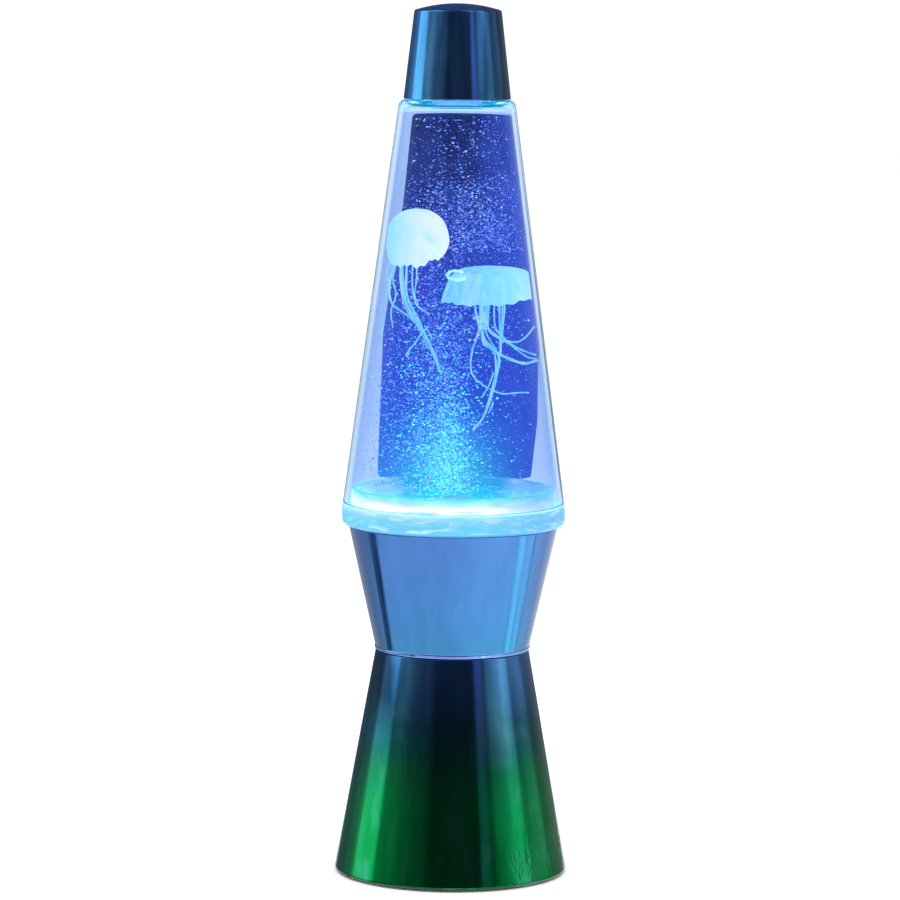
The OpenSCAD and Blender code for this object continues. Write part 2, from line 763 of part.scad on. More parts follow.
// Water up to its surface, open where the impeller turns and the jellyfish travel
module water_fill() {
    bay_r = guard_r + 0.4;
    low_r = 40.9;
    low_top = upstand_top + 0.3;
    color("deepskyblue", 0.3) difference() {
        lathe([[bay_r, tank_floor + gap, 0], [low_r, tank_floor + gap, 1.5],
            [low_r, low_top, 0], [tank_r(low_top) - water_inset, low_top, 0.5],
            [tank_r(water_z) - water_inset, water_z, 0.5], [0, water_z, 0],
            [0, low_top, 0], [bay_r, low_top, 0]]);
        at_jelly(jelly_1_at) rod(bell_1_d / 2 + lane_gap, -93, bell_1_h + 37, round_fn);
        at_jelly(jelly_2_at) rod(bell_2_d / 2 + lane_gap, -75.5, bell_2_h + 6, round_fn);
    }
}

// Thin domed bell, open below, on the plane of its rim
module bell(d, h) {
    steps = 10;
    r = d / 2;
    outer = [for (i = [0:steps]) let (a = 90 * i / steps) [r * cos(a), h * sin(a), 0]];
    inner = [for (i = [steps:-1:0]) let (a = 90 * i / steps)
        [(r - bell_t) * cos(a), (h - bell_t) * sin(a), 0]];
    lathe(concat(outer, inner));
}

// Strands under a root plate on a stem that reaches the bell's ceiling
module tentacles(h, length, count) {
    root_z = h * 0.45;
    root_r = 5;
    rod(root_r, root_z, root_z + 1);
    rod(1.6, root_z, h - bell_t - 0.1);
    for (i = [0:count - 1])
        let (reach = length * (0.62 + 0.38 * abs(cos(137.5 * i))))
        rotate(137.5 * i) translate([1 + (root_r - 1.8) * sqrt(i / count), 0, 0])
            rod(tentacle_r, -reach, root_z + 0.5, 16);
}

module bell_1() { color("paleturquoise") at_jelly(jelly_1_at) bell(bell_1_d, bell_1_h); }
module bell_2() { color("paleturquoise") at_jelly(jelly_2_at) bell(bell_2_d, bell_2_h); }
module tentacles_1() { color("powderblue") at_jelly(jelly_1_at) tentacles(bell_1_h, 43, 9); }
module tentacles_2() { color("powderblue") at_jelly(jelly_2_at) tentacles(bell_2_h, 48, 12); }

// ---------------------------------------------------------------- cap

module cap() {
    wall = 1.6;
    ceiling = 365.4;
    dome_r = 59.8;
    dome_x = 17;
    dome_steps = 6;
    color("steelblue") lathe(concat(
        [[cap_d / 2 - wall, cap_z, 0.2], [cap_d / 2, cap_z, 0.5],
            [cap_top_d / 2, cap_edge_z, 0.9]],
        [for (i = [dome_steps:-1:0]) let (x = dome_x * i / dome_steps)
            [x, cap_top_z - dome_r + sqrt(dome_r * dome_r - x * x), 0]],
        [[0, ceiling + 2, 0], [cap_r(ceiling) - wall, ceiling, 1.5]]));
}

module cap_liner() {
    sleeve_in = neck_r + gap;
    sleeve_out = sleeve_in + 1.6;
    flange_top = 351;
    flange_r = cap_r(flange_top) - 1.6 - 0.1;
    color("dimgray") lathe([[sleeve_in, cap_z + 0.8, 0.2], [sleeve_out, cap_z + 0.8, 0.2],
        [sleeve_out, flange_top - 1.4, 0], [flange_r, flange_top - 1.4, 0.2],
        [flange_r, flange_top, 0.2], [sleeve_in, flange_top, 0.2]]);
}

base_shell();
base_plate();
rubber_feet();
base_plate_screws();
battery_tray();
battery_cells();
battery_springs();
battery_contacts();
battery_door();
door_screw();
control_board();
board_components();
board_screws();
power_jack();
jack_nut();
mode_button();
switch_body();
switch_plunger();
cup_shell();
cup_screws();
motor_bracket();
bracket_screws();
motor();
motor_screws();
motor_shaft();
drive_hub();
drive_magnets();
light_board();
lights();
light_diffuser();
motor_leads();
light_leads();
battery_leads();
jack_leads();
tank_base();
tank_screws();
tank_seal();
tank_body();
backdrop_film();
impeller_pin();
impeller();
impeller_magnets();
impeller_guard();
water_fill();
bell_1();
tentacles_1();
bell_2();
tentacles_2();
fill_stopper();
stopper_ring();
cap();
cap_liner();
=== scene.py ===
import math

import bpy
import numpy as np
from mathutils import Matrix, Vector


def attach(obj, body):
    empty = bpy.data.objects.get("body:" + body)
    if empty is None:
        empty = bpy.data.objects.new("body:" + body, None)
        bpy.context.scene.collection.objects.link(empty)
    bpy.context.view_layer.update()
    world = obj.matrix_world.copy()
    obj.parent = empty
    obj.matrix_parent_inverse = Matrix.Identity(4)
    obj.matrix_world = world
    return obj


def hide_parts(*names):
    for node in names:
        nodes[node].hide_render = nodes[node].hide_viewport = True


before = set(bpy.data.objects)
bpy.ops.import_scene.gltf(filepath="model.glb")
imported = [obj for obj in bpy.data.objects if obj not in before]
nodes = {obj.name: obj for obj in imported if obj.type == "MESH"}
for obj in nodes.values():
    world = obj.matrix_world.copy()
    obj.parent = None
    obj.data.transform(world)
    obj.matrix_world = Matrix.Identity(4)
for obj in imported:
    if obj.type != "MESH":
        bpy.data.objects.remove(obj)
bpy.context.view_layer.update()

MM = 0.001
BLACK = (0.0, 0.0, 0.0, 1.0)
rng = np.random.default_rng(20)


# ---------------------------------------------------------------- colours and shader helpers


def linear(red, green, blue):
    """Scene colour of a colour as it is seen on a screen, 0 to 255."""

    def one(value):
        value /= 255
        return value / 12.92 if value <= 0.04045 else ((value + 0.055) / 1.055) ** 2.4

    return (one(red), one(green), one(blue), 1.0)


def grey(value):
    return (value, value, value, 1.0)


class Shading:
    """Adds nodes to one shader tree. A value given to a method is a number, a colour or a socket."""

    def __init__(self, tree):
        self.tree = tree

    def put(self, value, socket):
        if isinstance(value, bpy.types.NodeSocket):
            self.tree.links.new(value, socket)
        else:
            socket.default_value = value

    def node(self, kind, inputs=None, **settings):
        made = self.tree.nodes.new(kind)
        for key, value in settings.items():
            setattr(made, key, value)
        for key, value in (inputs or {}).items():
            self.put(value, made.inputs[key])
        return made

    def math(self, operation, *values):
        return self.node("ShaderNodeMath", dict(enumerate(values)), operation=operation).outputs[0]

    def times(self, first, *others):
        """The product of the values."""
        for other in others:
            first = self.math("MULTIPLY", first, other)
        return first

    def span(self, value, low, high, to_low=0.0, to_high=1.0):
        """to_low at low and to_high at high, held beyond them."""
        limits = {"From Min": low, "From Max": high, "To Min": to_low, "To Max": to_high}
        return self.node("ShaderNodeMapRange", {"Value": value, **limits}).outputs["Result"]

    def ramp(self, value, stops, interpolation="LINEAR"):
        """Colour by value; stops are (value, colour)."""
        made = self.node("ShaderNodeValToRGB", {"Fac": value})
        ramp = made.color_ramp
        ramp.interpolation = interpolation
        while len(ramp.elements) > 1:
            ramp.elements.remove(ramp.elements[-1])
        for index, (position, color) in enumerate(stops):
            element = ramp.elements[0] if index == 0 else ramp.elements.new(position)
            element.position = position
            element.color = color if len(color) == 4 else (*color, 1.0)
        return made.outputs["Color"]

    def mix(self, amount, first, second, blend_type="MIX"):
        made = self.node("ShaderNodeMix", data_type="RGBA", blend_type=blend_type)
        colours = [socket for socket in made.inputs if socket.type == "RGBA"]
        self.put(amount, made.inputs["Factor"])
        self.put(first, colours[0])
        self.put(second, colours[1])
        return next(socket for socket in made.outputs if socket.type == "RGBA")

    def dim(self, amount, color):
        """The colour taken that share of the way to black."""
        return self.mix(amount, color, BLACK)


class Finish(Shading):
    """A node material with one Principled shader, painted in the lamp's own coordinates."""

    def __init__(self, name, color=(0.8, 0.8, 0.8, 1.0), **constants):
        self.material = bpy.data.materials.new(name)
        self.material.use_nodes = True
        super().__init__(self.material.node_tree)
        self.shader = next(n for n in self.tree.nodes if n.type == "BSDF_PRINCIPLED")
        self.shader.inputs["Base Color"].default_value = color
        for key, value in constants.items():
            socket = key.replace("_", " ").title().replace("Ior", "IOR")
            self.shader.inputs[socket].default_value = value
        self.place = self.node("ShaderNodeTexCoord").outputs["Object"]
        self.axes = self.node("ShaderNodeSeparateXYZ", {0: self.place}).outputs

    def set(self, socket, value):
        self.put(value, self.shader.inputs[socket])
        return self

    def along(self, letter, low, high):
        """0 to 1 over a stretch of the lamp's X, Y or Z in mm."""
        return self.span(self.axes[letter], low * MM, high * MM)

    def corner(self, x_span, z_span):
        """1 beyond both a stretch of x and a stretch of height, in mm, and 0 before either."""
        return self.times(self.along("X", *x_span), self.along("Z", *z_span))

    def by_height(self, stops):
        """A ramp up the lamp; stops are (height in mm, colour)."""
        low, high = stops[0][0], stops[-1][0]
        placed = [((h - low) / (high - low), color) for h, color in stops]
        return self.ramp(self.along("Z", low, high), placed)

    def stretched(self, stretch):
        """The lamp's coordinates, multiplied."""
        scaled = self.node("ShaderNodeVectorMath", {0: self.place, 1: stretch}, operation="MULTIPLY")
        return scaled.outputs[0]

    def noise(self, scale, stretch=(1, 1, 1), detail=3.0, roughness=0.5, distortion=0.0):
        looks = {"Scale": scale, "Detail": detail, "Roughness": roughness, "Distortion": distortion}
        made = self.node("ShaderNodeTexNoise", {"Vector": self.stretched(stretch), **looks})
        return made.outputs["Fac"]

    def bump(self, height, strength, distance):
        made = self.node("ShaderNodeBump", {"Strength": strength, "Distance": distance, "Height": height})
        return self.set("Normal", made.outputs["Normal"])

    def speckled(self, first, second, scale, stretch=(1, 1, 1)):
        """Base colour that drifts between two colours."""
        patch = self.span(self.noise(scale, stretch), 0.4, 0.6)
        return self.set("Base Color", self.mix(patch, first, second))

    def glow(self, color, strength):
        self.set("Emission Color", color)
        return self.set("Emission Strength", strength)


# ---------------------------------------------------------------- finishes


def chrome(name, color_stops, streak=0.5, shade=None, wear=0.15, drawn=0.92, handled=False):
    """Electroplated film: mirror metal tinted by height, with faint drawn streaks and fingerprints.

    shade is painted shade: it darkens the tint by a depth over a stretch of x, above a height.
    handled adds the scuffed patch and the crumple in the film that the base's right side shows.
    """
    finish = Finish(name, metallic=1.0, roughness=0.07)
    tint = finish.by_height(color_stops)
    if shade:
        x_span, z_span, depth = shade
        tint = finish.dim(finish.times(finish.corner(x_span, z_span), depth), tint)
    streaks = finish.span(finish.noise(240, (1.0, 1.0, 0.015), detail=4), 0.40, 0.66)
    tint = finish.mix(streaks, tint, grey(drawn), "MULTIPLY")
    scuffs = finish.span(finish.noise(70, (1, 1, 0.5), detail=8, distortion=0.8), 0.52, 0.80)
    worn = finish.mix(0.5, tint, linear(120, 190, 196))
    scuffed = finish.times(scuffs, wear)
    crumple = 0.0
    if handled:
        patch = finish.times(finish.corner((7, 15), (48, 66)), finish.along("X", 27, 21))
        scuffed = finish.math("ADD", scuffed, finish.times(patch, 0.55))
        folds = finish.noise(95, (1, 1, 0.7), detail=3, distortion=2.4)
        crumple = finish.times(finish.corner((20, 30), (34, 8)), folds, 2.2)
    finish.set("Base Color", finish.mix(scuffed, tint, worn))
    smears = finish.noise(35, (1, 1, 0.5), detail=4, distortion=0.6)
    finish.set("Roughness", finish.span(smears, 0.3, 0.8, 0.05, 0.16))
    ripple = finish.math("ADD", finish.noise(28, (1, 1, 0.12), detail=2), crumple)
    return finish.bump(ripple, streak, 0.00035)


def plastic(name, first, second, roughness=0.45, scale=300, grain=0.15):
    finish = Finish(name, roughness=roughness)
    finish.speckled(first, second, scale)
    return finish.bump(finish.noise(2500, detail=2), grain, 0.00005)


def metal(name, first, second, roughness=0.3, stretch=(1, 1, 8)):
    finish = Finish(name, metallic=1.0, roughness=roughness)
    finish.speckled(first, second, 400, stretch=stretch)
    return finish.bump(finish.noise(900, stretch), 0.1, 0.00005)


def chrome_base():
    return chrome(
        "chrome_base",
        [
            # The two lowest stops darken the bottom edge as painted shade.
            (0, (0.001, 0.012, 0.005)),
            (1.3, (0.002, 0.05, 0.015)),
            (2.6, (0.004, 0.36, 0.075)),
            (34, (0.008, 0.37, 0.095)),
            (49, (0.014, 0.27, 0.11)),
            (58, (0.018, 0.19, 0.17)),
            (68, (0.030, 0.16, 0.23)),
            (79, (0.055, 0.20, 0.43)),
            (96, (0.085, 0.25, 0.60)),
        ],
        # Painted shade on the base's upper left.
        shade=((-22, -26), (62, 78), 0.75),
        wear=0.6,
        drawn=0.80,
        handled=True,
    )


def chrome_cup():
    return chrome(
        "chrome_cup",
        [
            (96.2, (0.24, 0.40, 0.86)),
            (97.7, (0.26, 0.42, 0.88)),
            (98.1, (0.050, 0.24, 0.48)),
            (112, (0.062, 0.23, 0.54)),
            (149.4, (0.080, 0.22, 0.56)),
        ],
        streak=0.3,
    )


def chrome_cap():
    return chrome(
        "chrome_cap",
        [(329.8, (0.15, 0.46, 0.94)), (350, (0.15, 0.48, 0.96)), (370, (0.14, 0.44, 0.94))],
        streak=0.4,
        # Painted shade down the cap's right side.
        shade=((8.5, 11.5), (320, 328), 0.72),
        drawn=0.62,
    )


WALL_TINT = (0.70, 0.80, 0.95)
WATER_TINT = (0.66, 0.74, 0.95)


def behind(water=1.0, color=(1.0, 1.0, 1.0)):
    """A colour raised for the clear wall, and that share of the water, that it is seen through."""
    seen = [value / wall / depth**water for value, wall, depth in zip(color, WALL_TINT, WATER_TINT)]
    return (*seen, 1.0)


def film():
    """Translucent blue sheet with the lights' glow painted into it, brighter low down: navy at the top, royal
    blue below, with the glow pooled at its foot.
    """
    finish = Finish("film_glow", linear(40, 70, 170), roughness=0.6, specular_ior_level=0.0)
    field = finish.by_height(
        [
            (160, linear(40, 130, 232)),
            (176, linear(34, 96, 234)),
            (200, linear(34, 76, 222)),
            (225, linear(44, 78, 214)),
            (250, linear(40, 66, 192)),
            (270, linear(36, 58, 168)),
            (284, linear(30, 46, 138)),
            (300, linear(26, 39, 110)),
            (323, linear(24, 38, 104)),
        ]
    )
    field = finish.mix(finish.times(finish.along("X", 6, 26), 0.8), field, linear(34, 74, 212))
    cloud = finish.span(finish.noise(60, (1, 1, 1.4), detail=5), 0.40, 0.75)
    field = finish.mix(finish.times(cloud, 0.28), field, linear(64, 104, 228))

    cells = finish.node("ShaderNodeTexVoronoi", {"Vector": finish.stretched((1, 1, 1.7)), "Scale": 640.0})
    chance = finish.node("ShaderNodeSeparateColor", {"Color": cells.outputs["Color"]}).outputs["Red"]
    near = finish.span(cells.outputs["Distance"], 0.42, 0.20)
    fleck = finish.times(near, finish.span(chance, 0.35, 1.0))
    amount = finish.by_height([(160, grey(0.45)), (230, grey(0.62)), (285, grey(0.52)), (300, grey(0.26))])
    field = finish.mix(finish.times(fleck, amount), field, linear(116, 150, 246))

    across = finish.math("DIVIDE", finish.math("ADD", finish.axes["X"], 4 * MM), 22 * MM)
    up = finish.math("DIVIDE", finish.math("SUBTRACT", finish.axes["Z"], 160 * MM), 24 * MM)
    reach = finish.math("ADD", finish.times(across, across), finish.times(up, up))
    pool = finish.math("EXPONENT", finish.times(reach, -1.0))
    field = finish.mix(finish.times(pool, 0.9), field, linear(62, 205, 244))
    finish.set("Base Color", finish.dim(0.9, field))
    return finish.glow(finish.mix(1.0, field, behind(), "MULTIPLY"), 0.86)


def clear_wall():
    """Clear acrylic, bluer towards its outline, the more so on its right, with a faint painted glow along its
    outline and a painted glow at its foot and its shoulder.
    """
    finish = Finish("tank_clear", (*WALL_TINT, 1.0), roughness=0.02, ior=1.2, transmission_weight=1.0)
    edge = finish.node("ShaderNodeLayerWeight", {"Blend": 0.5}).outputs["Facing"]
    rim = finish.math("POWER", edge, 3.0)
    side = finish.mix(finish.along("X", -5, 10), (0.24, 0.52, 0.80, 1.0), (0.12, 0.42, 0.78, 1.0))
    finish.set("Base Color", finish.mix(rim, (*WALL_TINT, 1.0), side))
    ends = finish.by_height(
        [
            (158, (0.01, 0.10, 0.20)),
            (163, (0.003, 0.012, 0.03)),
            (172, (0.0005, 0.002, 0.005)),
            (323.5, (0.0005, 0.002, 0.005)),
            (327.5, (0.0, 0.10, 0.17)),
        ]
    )
    mottle = finish.span(finish.noise(230, (1, 1, 1.6), detail=4), 0.30, 0.62)
    ends = finish.mix(mottle, finish.dim(0.55, ends), ends)
    finish.glow(finish.mix(finish.times(rim, 0.10), ends, linear(96, 172, 240)), 0.9)
    return finish.bump(finish.noise(25, detail=2), 0.03, 0.0002)


def clear_base():
    """Tank floor and lip, with the lights' cyan glow painted into them in rippled bands, and painted white
    highlights along the lip.
    """
    finish = Finish("floor_clear", (0.015, 0.04, 0.06, 1.0), roughness=0.08, ior=1.3, transmission_weight=0.1)
    inner = finish.by_height(
        [
            (138.9, linear(60, 150, 220)),
            (149.5, linear(110, 210, 240)),
            (152.6, linear(92, 240, 246)),
            (156.5, linear(236, 255, 255)),
            (160.5, linear(255, 255, 255)),
            (162.5, linear(188, 250, 250)),
            (164.0, linear(130, 244, 248)),
            (165.2, linear(60, 214, 226)),
        ]
    )
    middle = finish.span(finish.math("ABSOLUTE", finish.axes["X"]), 27 * MM, 21 * MM)
    rear = finish.mix(middle, linear(160, 214, 250), linear(18, 172, 236))
    inner = finish.mix(finish.along("Y", 8, 24), inner, rear)
    inner = finish.mix(1.0, inner, behind(0.6, (0.90, 0.92, 0.90)), "MULTIPLY")
    lip = finish.by_height(
        [
            (149.5, linear(70, 130, 206)),
            (150.6, linear(112, 206, 240)),
            (153.0, linear(104, 208, 242)),
            (155.5, linear(128, 208, 243)),
            (158.0, linear(172, 228, 248)),
        ]
    )
    ripple = finish.span(finish.noise(120, (1, 1, 5.0), detail=5, distortion=0.7), 0.50, 0.66)
    shade = finish.span(finish.noise(70, (1, 1, 6.0), detail=4, distortion=0.5), 0.46, 0.70)
    flat = {0: finish.stretched((1, 1, 0))}
    radius = finish.node("ShaderNodeVectorMath", flat, operation="LENGTH").outputs["Value"]
    glow = finish.mix(finish.span(radius, 43.8 * MM, 46.0 * MM), inner, lip)
    glow = finish.mix(finish.times(finish.along("X", 14, 34), 0.7), glow, linear(112, 182, 243))
    glow = finish.mix(finish.times(shade, 0.55), glow, linear(92, 210, 243))
    # Painted highlights: rippled white streaks along the lip, strongest just above its foot.
    highlight_heights = [(150.4, grey(0.0)), (151.4, grey(0.75)), (153.4, grey(0.25)), (158.0, grey(0.5))]
    painted_highlight = finish.times(ripple, finish.by_height(highlight_heights))
    finish.glow(finish.mix(painted_highlight, glow, linear(232, 252, 255)), 0.95)
    return finish.bump(finish.noise(160, (1, 1, 2), detail=3, distortion=0.8), 0.3, 0.0004)


def clear_guard():
    """Guard that all but vanishes in the water round it, with a faint, patchy painted glow."""
    finish = Finish("guard_clear", (0.86, 0.97, 1.0, 1.0), roughness=0.02, ior=1.02, transmission_weight=1.0)
    patch = finish.span(finish.noise(160), 0.35, 0.7)
    return finish.glow(finish.mix(patch, (0.0, 0.01, 0.02, 1.0), (0.01, 0.05, 0.07, 1.0)), 1.0)


def lit(name, color, strength, pale):
    """A plain material with the lights' glow in it."""
    finish = Finish(name, color, roughness=0.35)
    patch = finish.span(finish.noise(160), 0.35, 0.7)
    return finish.glow(finish.mix(patch, color, pale), strength)


def water():
    """Clear water with the lights' cyan glow standing in its foot."""
    finish = Finish("water_tint", (*WATER_TINT, 1.0), roughness=0.0, ior=1.0, transmission_weight=1.0)
    leaning = finish.math("ADD", finish.axes["Z"], finish.times(finish.axes["Y"], 0.127))
    foot = finish.ramp(
        finish.span(leaning, 150 * MM, 174 * MM),
        [
            (0.0, linear(30, 150, 160)),
            (0.45, linear(16, 140, 150)),
            (0.60, linear(4, 84, 100)),
            (0.70, linear(0, 30, 44)),
            (1.0, linear(0, 0, 4)),
        ],
    )
    swirl = finish.span(finish.noise(110, (1, 1, 2.5), detail=5, distortion=1.0), 0.35, 0.70)
    return finish.glow(finish.mix(swirl, finish.dim(0.5, foot), foot), 0.9)


def jelly(name, stops, axis, reach, strength=0.9):
    """Soft silicone glowing in the lamp's light, brighter to one side, with faint ribs."""
    finish = Finish(name, linear(180, 230, 250), roughness=0.4)
    tone = finish.ramp(finish.along(axis, *reach), stops)
    ribs = finish.span(finish.noise(260, (1, 1, 0.3), detail=4, distortion=0.5), 0.38, 0.7)
    tone = finish.mix(finish.times(ribs, 0.35), tone, linear(236, 250, 255))
    pools = finish.span(finish.noise(85, detail=3, distortion=0.4), 0.50, 0.66)
    tone = finish.mix(finish.times(pools, 0.5), tone, linear(128, 226, 240))
    finish.set("Base Color", finish.dim(0.75, tone))
    finish.glow(finish.mix(1.0, tone, behind(0.5), "MULTIPLY"), strength)
    return finish.bump(finish.noise(420, detail=3), 0.25, 0.0003)


# Glitter flakes with the lights' glow painted into them, patchy between two tints.
def glitter(name, first, second, strength):
    finish = Finish(name, first, roughness=0.3)
    patch = finish.span(finish.noise(700, detail=1), 0.35, 0.65)
    tone = finish.mix(patch, first, second)
    return finish.glow(finish.mix(1.0, tone, behind(0.5), "MULTIPLY"), strength)


def board(name, first, second):
    finish = Finish(name, roughness=0.4)
    finish.speckled(first, second, 550)
    return finish.bump(finish.noise(1500), 0.2, 0.00006)


SLOT_FINISH = {
    "chrome_base": chrome_base(),
    "chrome_cup": chrome_cup(),
    "chrome_cap": chrome_cap(),
    "black_plastic": plastic("black_plastic", (0.012, 0.012, 0.014, 1), (0.03, 0.03, 0.033, 1)),
    "white_plastic": plastic("white_plastic", (0.72, 0.72, 0.70, 1), (0.80, 0.80, 0.78, 1)),
    "rubber": plastic("rubber", (0.018, 0.018, 0.018, 1), (0.035, 0.034, 0.033, 1), 0.8, 200, 0.4),
    "seal_rubber": lit("seal_rubber", linear(110, 200, 240), 0.8, linear(190, 244, 252)),
    "steel": metal("steel", (0.56, 0.57, 0.58, 1), (0.68, 0.69, 0.70, 1)),
    "magnet": metal("magnet", (0.46, 0.46, 0.48, 1), (0.60, 0.60, 0.62, 1), 0.22),
    "cell_wrap": plastic("cell_wrap", (0.03, 0.10, 0.30, 1), (0.05, 0.14, 0.38, 1), 0.3),
    "green_board": board("green_board", (0.01, 0.12, 0.04, 1), (0.02, 0.20, 0.07, 1)),
    "white_board": board("white_board", (0.66, 0.68, 0.66, 1), (0.80, 0.82, 0.80, 1)),
    "light_lens": lit("light_lens", linear(150, 235, 255), 3.0, linear(255, 255, 255)),
    "frosted_plastic": lit("frosted_plastic", linear(90, 200, 245), 0.9, linear(190, 245, 255)),
    "wire_red": plastic("wire_red", (0.42, 0.02, 0.02, 1), (0.55, 0.03, 0.03, 1), 0.4),
    "wire_black": plastic("wire_black", (0.01, 0.01, 0.01, 1), (0.025, 0.025, 0.025, 1), 0.4),
    "clear_acrylic": clear_wall(),
    "clear_guard": clear_guard(),
    "blue_film": film(),
    "water": water(),
}
JELLY_LEFT = jelly(
    "jelly_left",
    [
        (0.0, linear(110, 205, 242)),
        (0.25, linear(160, 226, 246)),
        (0.6, linear(212, 240, 252)),
        (1.0, linear(226, 246, 253)),
    ],
    "X",
    (-30, -6),
)
JELLY_RIGHT = jelly(
    "jelly_right",
    [
        (0.0, linear(84, 188, 250)),
        (0.35, linear(98, 200, 250)),
        (0.7, linear(130, 222, 250)),
        (1.0, linear(176, 242, 252)),
    ],
    "X",
    (-6, 34),
)
JELLY_CURL = jelly(
    "jelly_curl",
    [(0.0, linear(150, 232, 252)), (1.0, linear(206, 248, 255))],
    "X",
    (-4, 5),
    1.0,
)
STRAND = jelly(
    "strand",
    [(0.0, linear(108, 188, 246)), (0.5, linear(86, 184, 246)), (1.0, linear(98, 196, 250))],
    "Z",
    (190, 262),
)


def paint(piece, finish):
    piece.data.materials.clear()
    piece.data.materials.append(finish.material)


for piece in nodes.values():
    slot = piece.data.materials[0].name.split(".")[0]
    if slot in SLOT_FINISH:
        paint(piece, SLOT_FINISH[slot])
paint(nodes["tank_base"], clear_base())


# ---------------------------------------------------------------- mesh helpers


def add_mesh(name, points, faces, finishes, body, smooth=True, face_finish=None):
    mesh = bpy.data.meshes.new(name)
    mesh.from_pydata([tuple(p) for p in points], [], faces)
    for finish in finishes:
        mesh.materials.append(finish.material)
    if smooth:
        mesh.polygons.foreach_set("use_smooth", [True] * len(mesh.polygons))
    if face_finish is not None:
        mesh.polygons.foreach_set("material_index", face_finish)
    mesh.update()
    piece = bpy.data.objects.new(name, mesh)
    bpy.context.scene.collection.objects.link(piece)
    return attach(piece, body)


def spline(points, steps):
    """Points of a Catmull-Rom curve through the given ones."""
    p = np.array(points, float)
    p = np.vstack([2 * p[0] - p[1], p, 2 * p[-1] - p[-2]])
    made = []
    for i in range(1, len(p) - 2):
        for t in np.arange(steps) / steps:
            a = 2 * p[i]
            b = p[i + 1] - p[i - 1]
            c = 2 * p[i - 1] - 5 * p[i] + 4 * p[i + 1] - p[i + 2]
            d = -p[i - 1] + 3 * p[i] - 3 * p[i + 1] + p[i + 2]
            made.append(0.5 * (a + b * t + c * t * t + d * t**3))
    made.append(p[-2])
    return np.array(made)


def tube(path, radii, sides=8):
    """Closed tube along a path: (points, faces)."""
    path = np.array(path)
    tangents = np.gradient(path, axis=0)
    tangents /= np.linalg.norm(tangents, axis=1)[:, None]
    side = np.cross(tangents[0], (0.3, 1.0, 0.2))
    points, faces = [], []
    for i, (centre, forward) in enumerate(zip(path, tangents)):
        side = side - forward * (side @ forward)
        side /= np.linalg.norm(side)
        up = np.cross(forward, side)
        for k in range(sides):
            turn = 2 * math.pi * k / sides
            points.append(centre + radii[i] * (math.cos(turn) * side + math.sin(turn) * up))
    for i in range(len(path) - 1):
        for k in range(sides):
            a, b = i * sides + k, i * sides + (k + 1) % sides
            faces.append((a, b, b + sides, a + sides))
    last = (len(path) - 1) * sides
    start, end = len(points), len(points) + 1
    points += [path[0] - tangents[0] * radii[0] * 0.6, path[-1] + tangents[-1] * radii[-1] * 0.6]
    for k in range(sides):
        faces.append((start, (k + 1) % sides, k))
        faces.append((end, last + k, last + (k + 1) % sides))
    return points, faces


def join(shapes):
    """One (points, faces) of several."""
    points, faces = [], []
    for more_points, more_faces in shapes:
        offset = len(points)
        points += list(more_points)
        faces += [tuple(index + offset for index in face) for face in more_faces]
    return points, faces


def lathe(profile, around=160):
    """Closed solid turned from a profile of (radius, height) that starts and ends on the axis."""
    points = [(0, 0, profile[0][1])]
    for radius, height in profile[1:-1]:
        turns = np.arange(around) * 2 * math.pi / around
        points += [(radius * math.cos(t), radius * math.sin(t), height) for t in turns]
    points.append((0, 0, profile[-1][1]))
    faces = []
    rings = len(profile) - 2
    for k in range(around):
        following = (k + 1) % around
        faces.append((0, 1 + following, 1 + k))
        for ring in range(rings - 1):
            low, high = 1 + ring * around, 1 + (ring + 1) * around
            faces.append((low + k, low + following, high + following, high + k))
        last = 1 + (rings - 1) * around
        faces.append((last + k, last + following, len(points) - 1))
    return points, faces


# ---------------------------------------------------------------- inside of the tank, in mm


WALL_LOW = (158.8, 47.1)
WALL_HIGH = (329.6, 24.45)
GLITTER_GAP = 3.6
WATER_GAP = 2.7
PIECE_GAP = 0.5


def wall_radius(height):
    """Outer radius of the tank's wall at a height."""
    share = (height - WALL_LOW[0]) / (WALL_HIGH[0] - WALL_LOW[0])
    return WALL_LOW[1] + share * (WALL_HIGH[1] - WALL_LOW[1])


def held_in(shape):
    """The (points, faces) with its points pressed back inside the water where they would pass it."""
    points, faces = shape
    held = []
    for x, y, z in points:
        reach = (wall_radius(z / MM) - WATER_GAP - PIECE_GAP) * MM
        out = math.hypot(x, y)
        scale = min(1.0, reach / out) if out else 1.0
        held.append((x * scale, y * scale, z))
    return held, faces


# ---------------------------------------------------------------- jellyfish


def bell(centre, lean, radius, height, profile, wave, around=96):
    """Closed bell: a profile of (share of radius, share of height) down its skin and back up inside.

    wave gives, for an angle and a place on the profile, how far the skin swells and lifts there.
    """
    curve = spline(profile, 6)
    centre = Vector(centre)
    turn = Vector((0, 0, 1)).rotation_difference(Vector(lean)).to_matrix()
    points = []
    for r, z in curve[1:-1]:
        for k in range(around):
            angle = 2 * math.pi * k / around
            swell, lift = wave(angle, r, z)
            out = r * radius * swell
            local = Vector((out * math.cos(angle), out * math.sin(angle), (z + lift) * height))
            points.append(centre + turn @ local)
    faces = []
    rings = len(curve) - 2
    for ring in range(rings - 1):
        for k in range(around):
            a, b = ring * around + k, ring * around + (k + 1) % around
            faces.append((a, a + around, b + around, b))
    top, under = len(points), len(points) + 1
    points.append(centre + turn @ Vector((0, 0, curve[0][1] * height)))
    points.append(centre + turn @ Vector((0, 0, curve[-1][1] * height)))
    last = (rings - 1) * around
    for k in range(around):
        following = (k + 1) % around
        faces.append((top, k, following))
        faces.append((under, last + following, last + k))
    return points, faces


